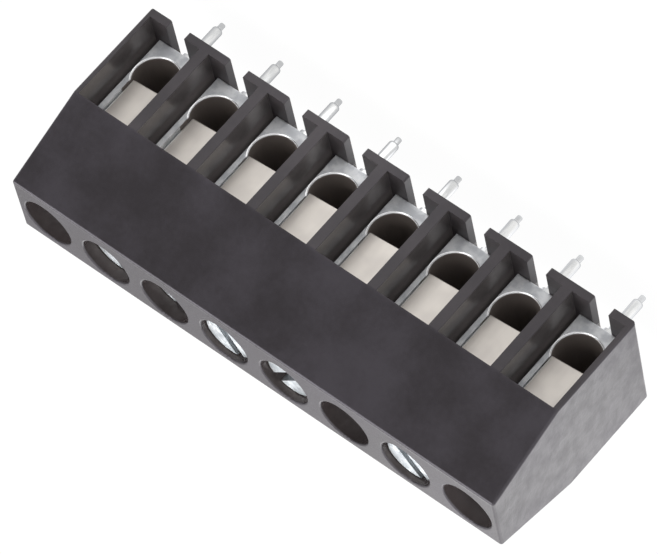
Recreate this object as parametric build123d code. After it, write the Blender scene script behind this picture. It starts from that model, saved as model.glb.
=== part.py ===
from build123d import *
import os

os.makedirs("parts", exist_ok=True)

# Millimetres. X runs along the row, the wires enter from -Y, and +Z points away from the board.
# The origin lies on the board face, in the middle of the row and of the housing's depth.
# Pole 1 is the pole at the low-X end.

# The row
poles = 8
pitch = 5.0

# Housing section, with heights above the board and set-backs from its front face
depth = 9.4
height = 14.4
lip_height = 7.7
top_front_set = 2.25
top_depth = 5.3
back_knee_height = 7.8
edge_radius = 0.2
end_edge_radius = 0.2

# Wire bays, their walls and the feet that the walls stand on
wall = 0.76
bay_depth = 3.5
foot_thickness = 0.57
foot_gap = 1.5
foot_corner_radius = 0.15

# Screw wells in the top face
well_set = 5.13
well_radius = 1.93
well_mouth_radius = 0.12
shelf_clearance = 0.2
shank_way_clearance = 0.3

# Clamp bodies
clamp_set = 2.45
clamp_width = 3.6
clamp_depth = 5.75
clamp_top_gap = 0.1
clamp_back_wall = 0.6
clamp_edge_bevel = 0.06
wire_height = 3.06
wire_radius = 1.63
wire_mouth_bevel = 0.14

# Wire guards, bent strips that the screws push down on the wires
guard_width = 2.7
guard_thickness = 0.45
guard_height = 3.42
guard_bottom_slant = 0.14
guard_corner_radius = 0.1
guard_bend_radius = 0.08
guard_side_gap = 0.06
guard_end_gap = 0.15
guard_room = 0.45
guard_sets = (0.02, 0.06, 0.04, 0.02, 0.02, 0.06, 0.42, 0.28)
guard_bottom_heights = (3.84, 3.8, 3.72, 3.63, 3.66, 3.8, 3.63, 3.7)

# Clamp screws with a metric thread, how deep each head stands, and the turns they close and open from there
thread_pitch = 0.45
shank_radius = 1.2
thread_clearance = 0.05
screws_below_top = (1.51, 0.43, 1.63, 0.57, 0.42, 1.08, 0.93, 1.65)
head_radius = 1.85
head_height = 1.7
head_edge_radius = 0.15
tip_bevel = 0.3
driver_slot_width = 0.75
driver_slot_depth = 0.85
driver_slot_angles = (76.0, 125.0, 20.0, 46.0, 117.0, 92.0, 112.0, 100.0)
turns_closing = 3.0
turns_opening = 0.8
stop_clearance = 0.08

# Solder pins, pressed into the clamp bodies
pin_set = 4.1
pin_radius = 0.375
pin_reach = 2.93
pin_press_radius = 0.58
pin_root_drop = 0.06
pin_top_height = 1.18
pin_hole_gap = 0.02
pin_end_radius = 0.2
nib_radius = 0.2
nib_length = 0.45
nib_end_radius = 0.08

# Lines that several pieces share
row_length = poles * pitch
front = -depth / 2
back = depth / 2
top_back = front + top_front_set + top_depth
bay_width = pitch - wall
well_y = front + well_set
pin_y = front + pin_set
clamp_front = front + clamp_set
clamp_back = clamp_front + clamp_depth
clamp_top = lip_height - clamp_top_gap
closing_travel = turns_closing * thread_pitch
opening_travel = turns_opening * thread_pitch
guard_ledges = [bottom + guard_thickness for bottom in guard_bottom_heights]
head_undersides = [height - below - head_height for below in screws_below_top]
shank_length = min(under - ledge for under, ledge in zip(head_undersides, guard_ledges))
slot_width = guard_width + 2 * guard_side_gap
groove_depth = guard_thickness + guard_room
chamber_top = max(guard_bottom_heights) + guard_thickness + opening_travel + stop_clearance
chamber_depth = clamp_depth - clamp_back_wall
lowest_head = height - max(screws_below_top) - head_height - closing_travel
shelf_height = lowest_head - shelf_clearance
thread_radius = shank_radius + thread_clearance
over = 1.0


def pole_x(pole):
    return (pole - (poles + 1) / 2) * pitch


def block(x, y_low, y_high, z_low, z_high, width):
    size = (width, y_high - y_low, z_high - z_low)
    return Pos(x, (y_low + y_high) / 2, (z_low + z_high) / 2) * Box(*size)


def post(x, y, z_low, z_high, radius):
    return Pos(x, y, (z_low + z_high) / 2) * Cylinder(radius, z_high - z_low)


def make_shell():
    """The moulding's outside: one section along the whole row, with its long edges rounded."""
    corners = [
        (front, 0),
        (back, 0),
        (back, back_knee_height),
        (top_back, height),
        (front + top_front_set, height),
        (front, lip_height),
    ]
    section = Plane.YZ * make_face(Polyline(*corners, close=True))
    shell = extrude(section, amount=row_length / 2, both=True)
    long_edges = shell.edges().filter_by(Axis.X)
    rounded = [e for e in long_edges if e.center().Z > 0 or e.center().Y > 0]
    shell = fillet(rounded, edge_radius)
    end_edges = [e for e in shell.edges() if abs(abs(e.center().X) - row_length / 2) < 0.01]
    back_edges = [e for e in end_edges if e.center().Y > top_back and e.center().Z > edge_radius]
    return fillet(back_edges, end_edge_radius)


def make_foot_slot(x):
    """The gap between two feet, open to the front and ending round the pin."""
    gap = block(x, front - over, pin_y, -over, foot_thickness + over, foot_gap)
    return gap + post(x, pin_y, -over, foot_thickness + over, foot_gap / 2)


def make_bay(x):
    """One pole's hollow: the open bay, the clamp's seat behind it, the foot gap and the screw well."""
    bay = block(x, front - over, front + bay_depth, foot_thickness, lip_height, bay_width)
    seat = block(x, clamp_front, clamp_back, foot_thickness, clamp_top, clamp_width)
    well = post(x, well_y, shelf_height, height + over, well_radius)
    shank_way = post(x, well_y, clamp_top - over, shelf_height + over, shank_radius + shank_way_clearance)
    return bay + seat + make_foot_slot(x) + well + shank_way


def make_housing():
    housing = make_shell()
    for pole in range(1, poles + 1):
        housing -= make_bay(pole_x(pole))
    rims = [e for e in housing.edges().filter_by(GeomType.CIRCLE)
            if abs(e.center().Z - height) < 0.01 and abs(e.radius - well_radius) < 0.01]
    housing = fillet(rims, well_mouth_radius)
    feet = housing.edges().filter_by(Axis.Z)
    tips = [e for e in feet if abs(e.center().Y - front) < 0.01 and e.center().Z < foot_thickness]
    inner = [e for e in tips if abs(e.center().X) < row_length / 2 - 0.01]
    return fillet(inner, foot_corner_radius)


def make_clamp_body(x):
    """A solid clamp with a keyhole for wire and guard, a tapped hole above it and the pin's hole below."""
    clamp = block(x, clamp_front, clamp_back, foot_thickness, clamp_top, clamp_width)
    faces = clamp.faces().sort_by(Axis.Y)
    clamp = chamfer(faces[0].edges(), clamp_edge_bevel)
    along = Pos(x, clamp_front + chamber_depth / 2, wire_height) * Rot(90, 0, 0)
    clamp -= along * Cylinder(wire_radius, chamber_depth)
    mouth = Pos(x, clamp_front + wire_mouth_bevel / 2, wire_height) * Rot(90, 0, 0)
    clamp -= mouth * Cone(wire_radius, wire_radius + wire_mouth_bevel, wire_mouth_bevel)
    clamp -= block(x, clamp_front, clamp_front + chamber_depth, wire_height, chamber_top, slot_width)
    groove_back = clamp_front + groove_depth
    clamp -= block(x, clamp_front, groove_back, wire_height, clamp_top + over, slot_width)
    clamp -= post(x, well_y, wire_height, clamp_top + over, thread_radius)
    return clamp - post(x, pin_y, 0, pin_top_height + pin_hole_gap, pin_press_radius)


def make_wire_guard(x, guard_set, bottom_height):
    """A strip bent to an L: its upright closes the keyhole, its foot lies under the screw."""
    y_front = clamp_front + guard_set
    y_back = clamp_front + chamber_depth - guard_end_gap - guard_room
    half = guard_width / 2
    low, high = bottom_height - guard_bottom_slant / 2, bottom_height + guard_bottom_slant / 2
    top = bottom_height + guard_height
    outline = Polyline((x - half, low), (x + half, high), (x + half, top), (x - half, top), close=True)
    strip = Pos(0, y_front, 0) * extrude(Plane.XZ * make_face(outline), amount=-(y_back - y_front))
    low_sides = [e for e in strip.edges().filter_by(Axis.Y) if e.center().Z < bottom_height + 1]
    strip = fillet(low_sides, guard_corner_radius)
    y_upright = y_front + guard_thickness
    ledge = bottom_height + guard_thickness
    strip -= block(x, y_upright, y_back + over, ledge, top + over, guard_width + over)
    bend = [e for e in strip.edges()
            if abs(e.center().Y - y_front) < 0.01 and abs(e.center().Z - bottom_height) < 0.03
            and e.length > guard_width / 2]
    return fillet(bend, guard_bend_radius)


def make_clamp_screw(x, below_top, slot_angle):
    """A slotted cheese-head screw, wound in until its head lies below the housing's top by that much."""
    head_top = height - below_top
    head_bottom = head_top - head_height
    tip = head_bottom - shank_length
    head = fillet(Cylinder(head_radius, head_height).edges().group_by(Axis.Z)[-1], head_edge_radius)
    head = Pos(x, well_y, (head_top + head_bottom) / 2) * head
    shank = chamfer(Cylinder(shank_radius, shank_length).edges().group_by(Axis.Z)[0], tip_bevel)
    shank = Pos(x, well_y, (head_bottom + tip) / 2) * shank
    screw = head + shank
    slot = Box(2 * head_radius + over, driver_slot_width, driver_slot_depth + over)
    slot_z = head_top - driver_slot_depth + (driver_slot_depth + over) / 2
    return screw - Pos(x, well_y, slot_z) * Rot(0, 0, slot_angle) * slot


def make_solder_pin(x):
    """A turned pin with a thick root pressed into the clamp, a rounded shoulder and a small nib."""
    press = post(x, pin_y, -pin_root_drop, pin_top_height, pin_press_radius)
    shoulder = fillet(post(x, pin_y, -pin_reach, -pin_root_drop, pin_radius).edges().group_by(Axis.Z)[0],
                      pin_end_radius)
    nib = post(x, pin_y, -pin_reach - nib_length, -pin_reach, nib_radius)
    nib = fillet(nib.edges().group_by(Axis.Z)[0], nib_end_radius)
    return press + shoulder + nib


def save(solid, node):
    export_step(solid, f"parts/{node}.step")


save(make_housing(), "housing")
for pole in range(1, poles + 1):
    x = pole_x(pole)
    place = (pole - 1) % len(guard_sets)
    save(make_clamp_body(x), f"clamp_body_{pole}")
    save(make_wire_guard(x, guard_sets[place], guard_bottom_heights[place]), f"wire_guard_{pole}")
    save(make_clamp_screw(x, screws_below_top[place], driver_slot_angles[place]), f"clamp_screw_{pole}")
    save(make_solder_pin(x), f"solder_pin_{pole}")
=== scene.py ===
import math
import bpy
from mathutils import Matrix, Vector


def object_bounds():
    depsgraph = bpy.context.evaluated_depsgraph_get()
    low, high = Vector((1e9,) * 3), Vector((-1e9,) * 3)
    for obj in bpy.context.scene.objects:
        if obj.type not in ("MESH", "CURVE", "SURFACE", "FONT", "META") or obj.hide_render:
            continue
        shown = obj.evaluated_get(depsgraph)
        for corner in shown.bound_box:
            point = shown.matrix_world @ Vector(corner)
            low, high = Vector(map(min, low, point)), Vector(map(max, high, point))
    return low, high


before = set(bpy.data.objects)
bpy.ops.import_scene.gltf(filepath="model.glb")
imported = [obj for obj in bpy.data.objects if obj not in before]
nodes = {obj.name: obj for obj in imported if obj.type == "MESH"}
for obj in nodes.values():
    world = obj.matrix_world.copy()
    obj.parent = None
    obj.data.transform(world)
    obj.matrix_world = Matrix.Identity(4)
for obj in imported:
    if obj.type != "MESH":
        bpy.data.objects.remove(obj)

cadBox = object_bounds()

# Lines that several looks share, in millimetres of the row frame
pitch = 5.0
wellAxisY = 0.43
millimetresPerMetre = 1000.0


def hexColour(code):
    # sRGB hex to linear red, green, blue and alpha
    parts = [int(code[i:i + 2], 16) / 255 for i in (1, 3, 5)]
    linear = [p / 12.92 if p <= 0.04045 else ((p + 0.055) / 1.055) ** 2.4 for p in parts]
    return (*linear, 1.0)


def direction(azimuth, elevation):
    # azimuth 0 is -Y, the side the wires enter from, and it grows towards +X
    a, e = math.radians(azimuth), math.radians(elevation)
    return Vector((math.sin(a) * math.cos(e), -math.cos(a) * math.cos(e), math.sin(e)))


def addNode(tree, kind, settings=None, links=None):
    # links joins inputs of the new node to other nodes' outputs
    node = tree.nodes.new(kind)
    for name, value in (settings or {}).items():
        if isinstance(name, int) or name in node.inputs:
            node.inputs[name].default_value = value
        else:
            setattr(node, name, value)
    for name, output in (links or {}).items():
        tree.links.new(output, node.inputs[name])
    return node


def mixNumber(tree, share, first, second):
    # share and first come from nodes, second is a plain number
    node = addNode(tree, "ShaderNodeMix", {"data_type": "FLOAT", "B": second}, {"Factor": share, "A": first})
    return node.outputs[0]


def newMaterial(name):
    material = bpy.data.materials.new(name)
    material.use_nodes = True
    material.node_tree.nodes.clear()
    return material, material.node_tree


def finishMaterial(tree, shader):
    output = addNode(tree, "ShaderNodeOutputMaterial")
    tree.links.new(shader, output.inputs["Surface"])


# The view that the photograph was taken from
cameraShot = {
    "azimuth": -25.631, "elevation": 18.573, "roll": -137.743,
    "distance": 0.39020, "target": (0.00083, 0.00192, 0.00623), "lens": 334.84,
    "sensorWidth": 36, "clipStart": 0.01, "clipEnd": 20,
}


def makeCamera():
    away = direction(cameraShot["azimuth"], cameraShot["elevation"])
    data = bpy.data.cameras.new("camera")
    data.lens = cameraShot["lens"]
    data.sensor_fit = "HORIZONTAL"
    data.sensor_width = cameraShot["sensorWidth"]
    data.clip_start = cameraShot["clipStart"]
    data.clip_end = cameraShot["clipEnd"]
    camera = bpy.data.objects.new("camera", data)
    bpy.context.scene.collection.objects.link(camera)
    turn = (-away).to_track_quat("-Z", "Y").to_matrix()
    turn = turn @ Matrix.Rotation(math.radians(cameraShot["roll"]), 3, "Z")
    place = Vector(cameraShot["target"]) + away * cameraShot["distance"]
    camera.matrix_world = Matrix.Translation(place) @ turn.to_4x4()
    bpy.context.scene.camera = camera


# A white tent of even light. Each panel brightens or dims the tent around its own direction,
# in full within the inner angle and not at all beyond the outer one.
studio = {
    "floorSize": 3.0, "floorWhite": "#f4f4f4", "shadowShare": 0.03,
    "base": 0.95, "darkest": 0.02,
    "panels": [
        {"name": "back wall", "azimuth": 175, "elevation": 10, "inner": 25, "outer": 75, "level": 0.2},
        {"name": "low left floor", "azimuth": -155, "elevation": -25, "inner": 20, "outer": 70, "level": 1.1},
        {"name": "dark front right", "azimuth": 25, "elevation": 22, "inner": 14, "outer": 46, "level": -0.85},
        {"name": "top softbox", "azimuth": 60, "elevation": 72, "inner": 15, "outer": 42, "level": 5.0},
        {"name": "front floor", "azimuth": 25, "elevation": -28, "inner": 15, "outer": 45, "level": 0.95},
        {"name": "back left softbox", "azimuth": -160, "elevation": 24, "inner": 8, "outer": 30, "level": 1.3},
        {"name": "floor beside the end", "azimuth": -112, "elevation": -8, "inner": 12, "outer": 38, "level": 0.4},
    ],
    "lamps": [
        {"name": "back softbox", "place": (0.015, 0.110, 0.050), "size": 0.04, "power": 0.012},
        {"name": "left softbox", "place": (-0.35, -0.02, 0.20), "size": 0.25, "power": 0.6},
    ],
    "lampTarget": (0, 0, 0.007),
}


def tentLevel(tree, towards):
    total = None
    for panel in studio["panels"]:
        cosine = addNode(tree, "ShaderNodeVectorMath",
                         {"operation": "DOT_PRODUCT", 1: direction(panel["azimuth"], panel["elevation"])},
                         {0: towards})
        spot = addNode(tree, "ShaderNodeMapRange",
                       {"interpolation_type": "SMOOTHSTEP", "From Min": math.cos(math.radians(panel["outer"])),
                        "From Max": math.cos(math.radians(panel["inner"])), "To Min": 0.0, "To Max": panel["level"]},
                       {"Value": cosine.outputs["Value"]})
        links = {0: spot.outputs[0]}
        if total is not None:
            links[1] = total.outputs[0]
        total = addNode(tree, "ShaderNodeMath", {"operation": "ADD", 1: studio["base"]}, links)
    level = addNode(tree, "ShaderNodeMath", {"operation": "MAXIMUM", 1: studio["darkest"]}, {0: total.outputs[0]})
    return level.outputs[0]


def makeFloor():
    lowest = cadBox[0][2]
    half = studio["floorSize"] / 2
    corners = [(-half, -half, lowest), (half, -half, lowest), (half, half, lowest), (-half, half, lowest)]
    mesh = bpy.data.meshes.new("floor")
    mesh.from_pydata(corners, [], [(0, 1, 2, 3)])
    floor = bpy.data.objects.new("floor", mesh)
    bpy.context.scene.collection.objects.link(floor)
    # it shows the camera plain white, and everything else the tent
    material, tree = newMaterial("white paper sweep, lit from all round")
    toCamera = addNode(tree, "ShaderNodeLightPath").outputs["Is Camera Ray"]
    spot = addNode(tree, "ShaderNodeTexCoord")
    towards = addNode(tree, "ShaderNodeVectorMath", {"operation": "NORMALIZE"}, {0: spot.outputs["Object"]})
    paper = addNode(tree, "ShaderNodeBsdfDiffuse", {"Color": hexColour(studio["floorWhite"])})
    level = mixNumber(tree, toCamera, tentLevel(tree, towards.outputs[0]), 1.0)
    glow = addNode(tree, "ShaderNodeEmission", None, {"Strength": level})
    share = addNode(tree, "ShaderNodeMath", {"operation": "MULTIPLY", 1: studio["shadowShare"]}, {0: toCamera})
    mix = addNode(tree, "ShaderNodeMixShader", None,
                  {0: share.outputs[0], 1: glow.outputs[0], 2: paper.outputs[0]})
    finishMaterial(tree, mix.outputs[0])
    mesh.materials.append(material)


def makeWorld():
    world = bpy.data.worlds.new("white tent")
    bpy.context.scene.world = world
    world.use_nodes = True
    tree = world.node_tree
    tree.nodes.clear()
    toCamera = addNode(tree, "ShaderNodeLightPath").outputs["Is Camera Ray"]
    spot = addNode(tree, "ShaderNodeTexCoord")
    level = mixNumber(tree, toCamera, tentLevel(tree, spot.outputs["Generated"]), 1.0)
    background = addNode(tree, "ShaderNodeBackground", {"Color": (1, 1, 1, 1)}, {"Strength": level})
    output = addNode(tree, "ShaderNodeOutputWorld")
    tree.links.new(background.outputs[0], output.inputs["Surface"])


def makeLamps():
    for lamp in studio["lamps"]:
        data = bpy.data.lights.new(lamp["name"], "AREA")
        data.size = lamp["size"]
        data.energy = lamp["power"]
        light = bpy.data.objects.new(lamp["name"], data)
        bpy.context.scene.collection.objects.link(light)
        place = Vector(lamp["place"])
        aim = place - Vector(studio["lampTarget"])
        light.matrix_world = Matrix.Translation(place) @ aim.to_track_quat("Z", "Y").to_matrix().to_4x4()


# Shader arithmetic on points of the row frame, in millimetres
def mathNode(tree, operation, first, second=0.0):
    node = addNode(tree, "ShaderNodeMath", {"operation": operation})
    for slot, value in enumerate((first, second)):
        if isinstance(value, (int, float)):
            node.inputs[slot].default_value = value
        else:
            tree.links.new(value, node.inputs[slot])
    return node.outputs[0]


def times(tree, *factors):
    product = factors[0]
    for factor in factors[1:]:
        product = mathNode(tree, "MULTIPLY", product, factor)
    return product


def ramp(tree, value, band, atLow=0.0, atHigh=1.0):
    # band is the low and high value that the ramp runs between
    node = addNode(tree, "ShaderNodeMapRange",
                   {"interpolation_type": "SMOOTHSTEP", "From Min": band[0], "From Max": band[1],
                    "To Min": atLow, "To Max": atHigh}, {"Value": value})
    return node.outputs[0]


def above(tree, value, band):
    return ramp(tree, value, band, 0.0, 1.0)


def below(tree, value, band):
    return ramp(tree, value, band, 1.0, 0.0)


def rowPoint(tree):
    # the point in millimetres, and its x measured from the middle of its own pole
    point = addNode(tree, "ShaderNodeTexCoord").outputs["Object"]
    scale = {"operation": "SCALE", "Scale": millimetresPerMetre}
    scaled = addNode(tree, "ShaderNodeVectorMath", scale, {0: point}).outputs[0]
    parts = addNode(tree, "ShaderNodeSeparateXYZ", None, {0: scaled})
    x, y, z = (parts.outputs[i] for i in range(3))
    poleOffset = mathNode(tree, "WRAP", mathNode(tree, "SUBTRACT", x, pitch / 2), pitch / 2)
    poleOffset.node.inputs[2].default_value = -pitch / 2
    return scaled, x, y, z, poleOffset


def axisDistance(tree, first, second):
    squares = [times(tree, part, part) for part in (first, second)]
    return mathNode(tree, "SQRT", mathNode(tree, "ADD", *squares))


def noiseAt(tree, point, size, detail, stretch=None, rough=0.5):
    # size is that of one blotch in millimetres, stretch scales x, y and z
    if stretch:
        point = addNode(tree, "ShaderNodeVectorMath", {"operation": "MULTIPLY", 1: stretch}, {0: point}).outputs[0]
    node = addNode(tree, "ShaderNodeTexNoise", {"Scale": 1.0 / size, "Detail": detail, "Roughness": rough},
                   {"Vector": point})
    return node.outputs["Fac"]


def mixColour(tree, share, first, second):
    node = addNode(tree, "ShaderNodeMix", {"data_type": "RGBA"})
    for slot, value in ((0, share), (6, first), (7, second)):
        if isinstance(value, str):
            node.inputs[slot].default_value = hexColour(value)
        else:
            tree.links.new(value, node.inputs[slot])
    return node.outputs[2]


def bumpFrom(tree, heights, depth):
    # depth is the height of a full step, in millimetres
    settings = {"Strength": 1.0, "Distance": depth / millimetresPerMetre}
    return addNode(tree, "ShaderNodeBump", settings, {"Height": heights}).outputs[0]


# The middle range of a noise, which a ramp spreads over the whole step of a roughness
noiseMiddle = (0.3, 0.7)

# Lines where the moulding's look changes, in millimetres
mouldingLines = {
    "frontEdge": (-4.68, -4.6), "deepBaySheen": (-3.3, -1.9), "slopeBack": (-2.3, -2.1), "bayBack": (-1.2, -1.1),
    "footTop": (0.56, 0.66), "lip": (7.6, 7.7), "slopeFoot": (7.7, 7.9), "wellMouth": (14.22, 14.34),
    "top": (14.34, 14.39), "end": (19.9, 19.97), "wellRadius": (1.96, 2.03),
}

# Each tone is a dark and a light colour, with blotches of one on the other. The lower front, bay, deep bay and well
# tones are lighter copies of the outside tone: painted light
housingLook = {
    "outside": ("#272426", "#343135"), "lowFront": ("#2f2c2d", "#3c3839"), "well": ("#322d2d", "#423c3c"),
    "bay": ("#444040", "#534f4f"), "deepBaySheen": ("#6b6564", "#7d7776"), "toneBand": (0.32, 0.68),
    "cloudSize": 4.5, "fineSize": 0.35, "fineShare": 0.25, "endFacing": (0.6, 0.9),
    "insideRoughness": 0.25, "slopeRoughness": 0.33, "erodedRoughness": 0.46, "endRoughness": 0.37,
    "mottle": (-0.03, 0.03), "endMottle": (-0.07, 0.05),
    "tint": "#f1edf7", "insideWarmReflection": "#f5ece6", "topTint": "#b5afb6",
    "speckleSize": 0.16, "speckleBand": (0.4, 0.62),
    "grainSize": 0.09, "grainDepth": 0.004, "topGrainDepth": 0.014,
    "swirlSize": 1.3, "swirlDepth": 0.012, "swirlStretch": (1.0, 1.5, 0.8),
    "endSwirlSize": 1.1, "endSwirlDepth": 0.03, "endSwirlStretch": (1.0, 0.8, 1.2), "insideBump": 0.05,
    "dust": "#8d8b8c", "dustSize": 0.5, "dustBand": (0.72, 0.76), "dustShare": 0.3,
}


def mouldedHousingPlastic():
    # Black polyamide: the eroded outside scatters light into a grey bloom at a low angle, dullest on the speckled top.
    # The bays and wells are polished. The lower front, the bays and the wells are painted lighter to lift their shade,
    # the deep bays lightest as a painted sheen by the clamp, and their reflections carry a painted warm tint from the
    # metal beside them.
    look, lines = housingLook, mouldingLines
    material, tree = newMaterial("black polyamide, moulded in a spark-eroded tool")
    point, x, y, z, poleOffset = rowPoint(tree)

    # masks, each 1 on the part of the moulding that it names
    notEnd = below(tree, mathNode(tree, "ABSOLUTE", x), lines["end"])
    lowFront = times(tree, below(tree, z, lines["lip"]), below(tree, y, lines["bayBack"]), notEnd)
    bay = times(tree, lowFront, above(tree, y, lines["frontEdge"]), above(tree, z, lines["footTop"]))
    fromWell = axisDistance(tree, poleOffset, mathNode(tree, "SUBTRACT", y, wellAxisY))
    well = times(tree, below(tree, z, lines["wellMouth"]), below(tree, fromWell, lines["wellRadius"]))
    inside = mathNode(tree, "MINIMUM", mathNode(tree, "ADD", bay, well), 1.0)
    facing = addNode(tree, "ShaderNodeTexCoord").outputs["Normal"]
    facingX = addNode(tree, "ShaderNodeSeparateXYZ", None, {0: facing}).outputs["X"]
    end = times(tree, mathNode(tree, "SUBTRACT", 1.0, notEnd),
                above(tree, mathNode(tree, "ABSOLUTE", facingX), look["endFacing"]))
    slope = times(tree, above(tree, z, lines["slopeFoot"]), below(tree, y, lines["slopeBack"]), notEnd)

    cloud = noiseAt(tree, point, look["cloudSize"], 4.0)
    fine = noiseAt(tree, point, look["fineSize"], 5.0, rough=0.6)
    blotch = mathNode(tree, "ADD", times(tree, cloud, 1 - look["fineShare"]), times(tree, fine, look["fineShare"]))
    share = ramp(tree, blotch, look["toneBand"])
    colour = mixColour(tree, share, *look["outside"])
    # painted light: the lower front, the bays and the wells get lighter tones of the same plastic to lift the shade
    # under the lip and in the hollows, and deep in each bay by the clamp a still lighter tone is a painted sheen
    colour = mixColour(tree, lowFront, colour, mixColour(tree, share, *look["lowFront"]))
    litBayColour = mixColour(tree, ramp(tree, y, lines["deepBaySheen"]),
                      mixColour(tree, share, *look["bay"]), mixColour(tree, share, *look["deepBaySheen"]))
    colour = mixColour(tree, bay, colour, litBayColour)
    colour = mixColour(tree, well, colour, mixColour(tree, share, *look["well"]))
    dust = noiseAt(tree, point, look["dustSize"], 6.0, rough=0.75)
    dusty = times(tree, ramp(tree, dust, look["dustBand"], 0.0, look["dustShare"]),
                  mathNode(tree, "SUBTRACT", 1.0, inside))
    colour = mixColour(tree, dusty, colour, look["dust"])

    patch = noiseAt(tree, point, look["endSwirlSize"], 5.0, look["endSwirlStretch"], rough=0.6)
    outside = mathNode(tree, "ADD", ramp(tree, slope, (0.0, 1.0), look["erodedRoughness"], look["slopeRoughness"]),
                       times(tree, end, look["endRoughness"] - look["erodedRoughness"]))
    mottle = mathNode(tree, "ADD", ramp(tree, blotch, noiseMiddle, *look["mottle"]),
                      times(tree, end, ramp(tree, patch, noiseMiddle, *look["endMottle"])))
    roughness = mixNumber(tree, inside, mathNode(tree, "ADD", outside, mottle), look["insideRoughness"])

    # the bump's heights are in units of the swirl's depth
    grain = noiseAt(tree, point, look["grainSize"], 2.0)
    swirl = noiseAt(tree, point, look["swirlSize"], 5.0, look["swirlStretch"], rough=0.55)
    unit = look["swirlDepth"]
    grainDepth = ramp(tree, z, lines["top"], look["grainDepth"] / unit, look["topGrainDepth"] / unit)
    heights = mathNode(tree, "ADD", times(tree, grain, grainDepth), swirl)
    heights = mathNode(tree, "ADD", heights, times(tree, patch, end, look["endSwirlDepth"] / unit))
    heights = times(tree, heights, ramp(tree, inside, (0.0, 1.0), 1.0, look["insideBump"]))

    speckle = noiseAt(tree, point, look["speckleSize"], 3.0, rough=0.7)
    speckle = times(tree, ramp(tree, speckle, look["speckleBand"]), above(tree, z, lines["top"]))
    tint = mixColour(tree, speckle, look["tint"], look["topTint"])
    # painted reflection: a warm tint on the reflections in the bays and wells, standing for the metal beside them
    tint = mixColour(tree, inside, tint, look["insideWarmReflection"])
    shader = addNode(tree, "ShaderNodeBsdfPrincipled", None,
                     {"Base Color": colour, "Specular Tint": tint, "Roughness": roughness,
                      "Normal": bumpFrom(tree, heights, unit)})
    finishMaterial(tree, shader.outputs[0])
    return material


# Lines of the clamp's keyhole and of its turned rim, in millimetres
clampLines = {
    "holeHeight": 3.06, "halfWidth": (1.64, 1.7), "bottom": (1.3, 1.4), "top": (4.8, 4.9),
    "front": (-2.19, -2.14), "back": (2.95, 3.05),
    "rimRadius": 1.7, "rimHalfWidth": 0.08, "rimInner": (1.65, 1.68), "rimOuter": (1.75, 1.78),
    "rimBack": (-2.14, -2.06),
}
clampLook = {
    "plate": "#e9eaec", "dull": "#c9cbcf", "blotchSize": 0.7, "toneBand": (0.35, 0.65),
    "roughness": (0.44, 0.6), "metal": 0.5, "grainSize": 0.06, "grainDepth": 0.0016,
    "bore": "#736a65", "boreRoughness": 0.7,
    "rim": "#f4f5f6", "rimRoughness": 0.26, "rimMetal": 0.6, "rimRounding": 3.8,
}


def barrelPlatedClamp():
    # Matt nickel with soft blotches from the barrel. The drilled bore is a dull, not metallic brown, partly its own
    # colour and partly painted light that lifts the shade inside it, and the turned rim round its mouth gets a lighter
    # colour as a painted highlight line.
    look, lines = clampLook, clampLines
    material, tree = newMaterial("nickel on brass, barrel plated, with a drilled bore")
    point, x, y, z, poleOffset = rowPoint(tree)
    fromHole = axisDistance(tree, poleOffset, mathNode(tree, "SUBTRACT", z, lines["holeHeight"]))
    across = below(tree, mathNode(tree, "ABSOLUTE", poleOffset), lines["halfWidth"])
    upright = times(tree, above(tree, z, lines["bottom"]), below(tree, z, lines["top"]))
    along = times(tree, above(tree, y, lines["front"]), below(tree, y, lines["back"]))
    bore = times(tree, across, upright, along)
    atRim = times(tree, above(tree, fromHole, lines["rimInner"]), below(tree, fromHole, lines["rimOuter"]),
                  below(tree, y, lines["rimBack"]))

    blotch = noiseAt(tree, point, look["blotchSize"], 4.0)
    colour = mixColour(tree, ramp(tree, blotch, look["toneBand"]), look["plate"], look["dull"])
    # painted light: the bore's brown is made lighter to lift the shade in the deep bore
    colour = mixColour(tree, bore, colour, look["bore"])
    # painted highlight: a lighter colour along the rim round the hole's mouth
    colour = mixColour(tree, atRim, colour, look["rim"])
    roughness = mixNumber(tree, atRim, ramp(tree, blotch, noiseMiddle, *look["roughness"]), look["rimRoughness"])
    roughness = mixNumber(tree, bore, roughness, look["boreRoughness"])
    metal = times(tree, mathNode(tree, "SUBTRACT", 1.0, bore),
                  ramp(tree, atRim, (0.0, 1.0), look["metal"], look["rimMetal"]))

    # the rim is rounded as an arch over its width, on the fine grain of the plating
    fromRim = mathNode(tree, "SUBTRACT", fromHole, lines["rimRadius"])
    fromRim = mathNode(tree, "MAXIMUM", fromRim, -lines["rimHalfWidth"])
    fromRim = mathNode(tree, "MINIMUM", fromRim, lines["rimHalfWidth"])
    rounded = times(tree, fromRim, fromRim, -look["rimRounding"])
    grain = times(tree, noiseAt(tree, point, look["grainSize"], 3.0), look["grainDepth"])
    normal = bumpFrom(tree, mathNode(tree, "ADD", grain, rounded), 1.0)
    shader = addNode(tree, "ShaderNodeBsdfPrincipled", None,
                     {"Base Color": colour, "Metallic": metal, "Roughness": roughness, "Normal": normal})
    finishMaterial(tree, shader.outputs[0])
    return material


guardLook = {
    "bright": "#d2ccc5", "warm": "#c8c2bc", "cloudSize": 2.0, "toneBand": (0.35, 0.65),
    "edgeHighlight": "#fbfaf7", "edgeBand": (1.24, 1.28), "roughness": 0.36, "roughnessSpread": 0.025,
    "lineSize": 0.12, "lineDepth": 0.0002, "lineStretch": (1.0, 1.0, 0.04),
}


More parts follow.
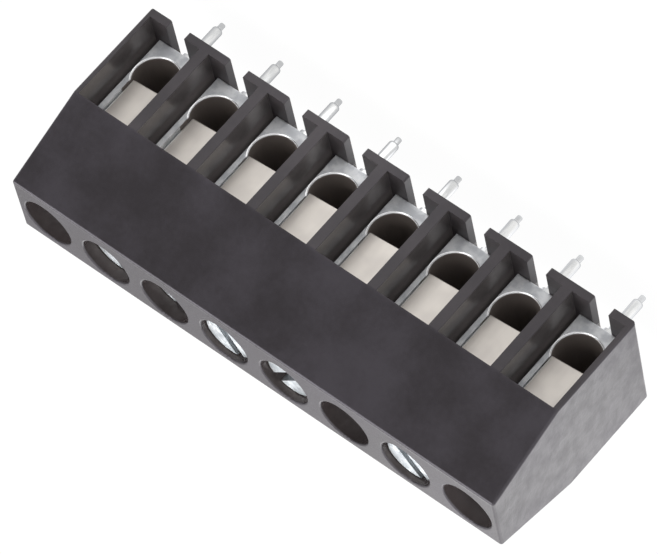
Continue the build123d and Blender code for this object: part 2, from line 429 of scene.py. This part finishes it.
def rolledGuardStrip():
    # Satin stainless strip: even and warm, with faint lines along the direction it was rolled in, and a lighter colour
    # along its side edges as a painted highlight.
    look = guardLook
    material, tree = newMaterial("stainless strip, cold rolled and blanked")
    point, x, y, z, poleOffset = rowPoint(tree)
    lines = noiseAt(tree, point, look["lineSize"], 3.0, look["lineStretch"])
    cloud = noiseAt(tree, point, look["cloudSize"], 2.0)
    colour = mixColour(tree, ramp(tree, cloud, look["toneBand"]), look["bright"], look["warm"])
    atEdge = above(tree, mathNode(tree, "ABSOLUTE", poleOffset), look["edgeBand"])
    # painted highlight: a lighter colour along the strip's side edges
    colour = mixColour(tree, atEdge, colour, look["edgeHighlight"])
    roughness = ramp(tree, lines, noiseMiddle, look["roughness"] - look["roughnessSpread"],
                     look["roughness"] + look["roughnessSpread"])
    shader = addNode(tree, "ShaderNodeBsdfPrincipled", {"Metallic": 1.0},
                     {"Base Color": colour, "Roughness": roughness, "Normal": bumpFrom(tree, lines, look["lineDepth"])})
    finishMaterial(tree, shader.outputs[0])
    return material


screwLook = {
    "bright": "#dfe3e6", "dull": "#b4b9bd", "blotchSize": 0.7, "toneBand": (0.35, 0.65),
    "roughness": 0.36, "roughnessSpread": 0.1, "ringPitch": 0.11, "ringDepth": 0.008,
}


def turnedZincScrew():
    # Bright zinc over turned steel: fine rings round the axis catch the light from above.
    look = screwLook
    material, tree = newMaterial("zinc plate on turned steel")
    point, x, y, z, poleOffset = rowPoint(tree)
    radius = axisDistance(tree, poleOffset, mathNode(tree, "SUBTRACT", y, wellAxisY))
    rings = mathNode(tree, "SINE", times(tree, radius, 2 * math.pi / look["ringPitch"]))
    blotch = noiseAt(tree, point, look["blotchSize"], 4.0)
    colour = mixColour(tree, ramp(tree, blotch, look["toneBand"]), look["bright"], look["dull"])
    roughness = ramp(tree, blotch, noiseMiddle, look["roughness"], look["roughness"] + look["roughnessSpread"])
    shader = addNode(tree, "ShaderNodeBsdfPrincipled", {"Metallic": 1.0},
                     {"Base Color": colour, "Roughness": roughness, "Normal": bumpFrom(tree, rings, look["ringDepth"])})
    finishMaterial(tree, shader.outputs[0])
    return material


pinLook = {
    "bright": "#ececeb", "dull": "#d6d7d7", "cloudSize": 0.5, "cloudStretch": (1.0, 1.0, 0.3), "toneBand": (0.4, 0.65),
    "nib": "#c4c5c6", "nibTop": (-3.0, -2.93), "sideShade": "#c6c7c9", "sideBand": (0.08, 0.4), "grazing": "#b0b1b3",
    "roughness": 0.14, "roughnessSpread": 0.12, "roughnessBand": (0.35, 0.7),
}


def dippedTinPin():
    # Tin over copper alloy: smooth and mirror-like along the pin, with cloudy patches. Its sides, where they turn away
    # from view, get a greyer colour as painted shade, and its reflections turn greyer at a grazing angle. The nib is
    # given a greyer colour.
    look = pinLook
    material, tree = newMaterial("tin plate on a drawn pin")
    point, x, y, z, poleOffset = rowPoint(tree)
    cloud = noiseAt(tree, point, look["cloudSize"], 3.0, look["cloudStretch"])
    colour = mixColour(tree, ramp(tree, cloud, look["toneBand"]), look["bright"], look["dull"])
    colour = mixColour(tree, below(tree, z, look["nibTop"]), colour, look["nib"])
    turned = addNode(tree, "ShaderNodeLayerWeight", {"Blend": 0.5}).outputs["Facing"]
    # painted shade: the sides are greyer where they turn away from view
    colour = mixColour(tree, ramp(tree, turned, look["sideBand"]), colour, look["sideShade"])
    roughness = ramp(tree, cloud, look["roughnessBand"], look["roughness"],
                     look["roughness"] + look["roughnessSpread"])
    shader = addNode(tree, "ShaderNodeBsdfPrincipled", {"Metallic": 1.0, "Specular Tint": hexColour(look["grazing"])},
                     {"Base Color": colour, "Roughness": roughness})
    finishMaterial(tree, shader.outputs[0])
    return material


materials = {
    "housing": mouldedHousingPlastic(),
    "clamp_body": barrelPlatedClamp(),
    "wire_guard": rolledGuardStrip(),
    "clamp_screw": turnedZincScrew(),
    "solder_pin": dippedTinPin(),
}
for name, node in nodes.items():
    kind = name if name == "housing" else name.rsplit("_", 1)[0]
    node.data.materials.clear()
    node.data.materials.append(materials[kind])
print("materials done")

makeCamera()
makeFloor()
makeWorld()
makeLamps()
bpy.context.scene.view_settings.view_transform = "Standard"
print("studio done")
